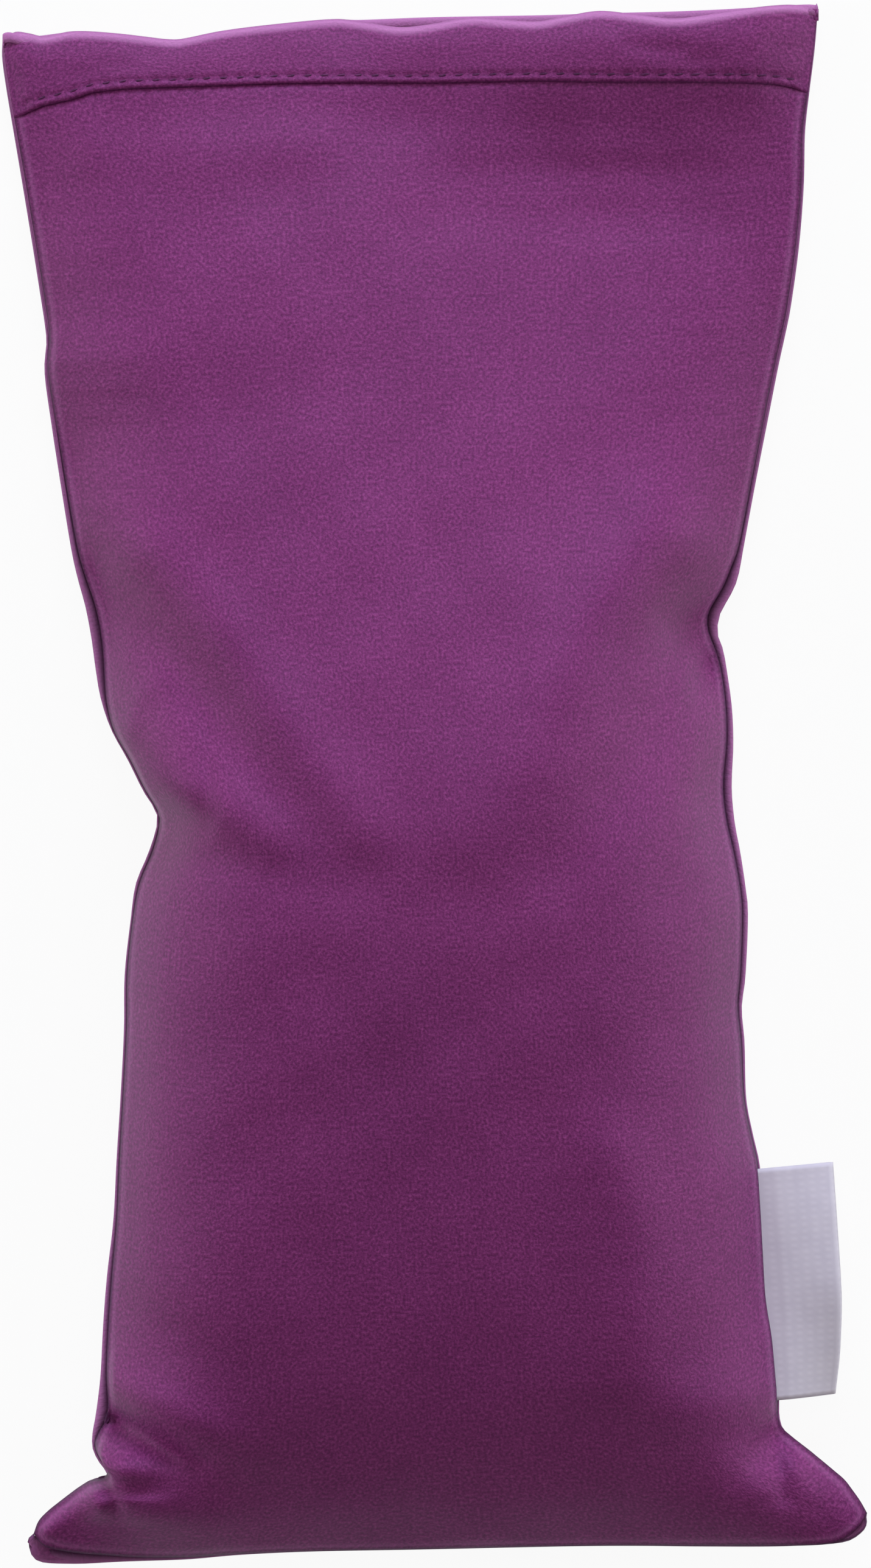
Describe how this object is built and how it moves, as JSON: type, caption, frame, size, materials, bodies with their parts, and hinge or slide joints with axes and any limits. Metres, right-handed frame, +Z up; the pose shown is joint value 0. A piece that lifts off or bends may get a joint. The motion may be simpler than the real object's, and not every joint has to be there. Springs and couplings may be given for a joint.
{
  "type": "eye pillow",
  "caption": "Seed-filled eye pillow: a soft cloth cover with a hemmed open mouth, a slide-out inner pouch and a small folded side label, lying flat.",
  "frame": {"origin": "on the table, under the middle of the pillow as it lies on its back", "axes": "+Z up from the table through the pillow's thickness, +Y along its length from the bottom seam to the open mouth, +X to the right towards the label"},
  "size_m": [0.1277, 0.231, 0.0401],
  "materials": {
    "cover_cloth": "satin",
    "cover_thread": "satin",
    "label_ribbon": "satin",
    "pouch_cotton": "matte",
    "pouch_thread": "matte",
    "seeds": "satin"
  },
  "bodies": {
    "cover": {"cover_front_panel": "cover_cloth", "cover_back_panel": "cover_cloth", "front_hem_band": "cover_cloth", "back_hem_band": "cover_cloth", "front_hem_stitching": "cover_thread", "back_hem_stitching": "cover_thread", "left_seam_stitching": "cover_thread", "right_seam_stitching": "cover_thread", "bottom_seam_stitching": "cover_thread"},
    "label_flap": {"side_label": "label_ribbon"},
    "inner_pillow": {"pouch_front_panel": "pouch_cotton", "pouch_back_panel": "pouch_cotton", "pouch_seam_stitching": "pouch_thread", "pouch_closing_stitching": "pouch_thread", "seed_fill": "seeds"}
  },
  "joints": [
    {"name": "inner_pillow_slide", "type": "slide", "parent": "cover", "child": "inner_pillow", "axis": [0, 1, 0], "range_m": [0, 0.226], "deforming": ["cover_front_panel", "front_hem_band", "front_hem_stitching"]},
    {"name": "label_hinge", "type": "hinge", "parent": "cover", "child": "label_flap", "pos_m": [0.05084, -0.07169, 0.0086], "axis": [0.1378, -0.9905, 0], "range_deg": [-90, 110], "stiffness_Nm_per_rad": 0.0001}
  ]
}
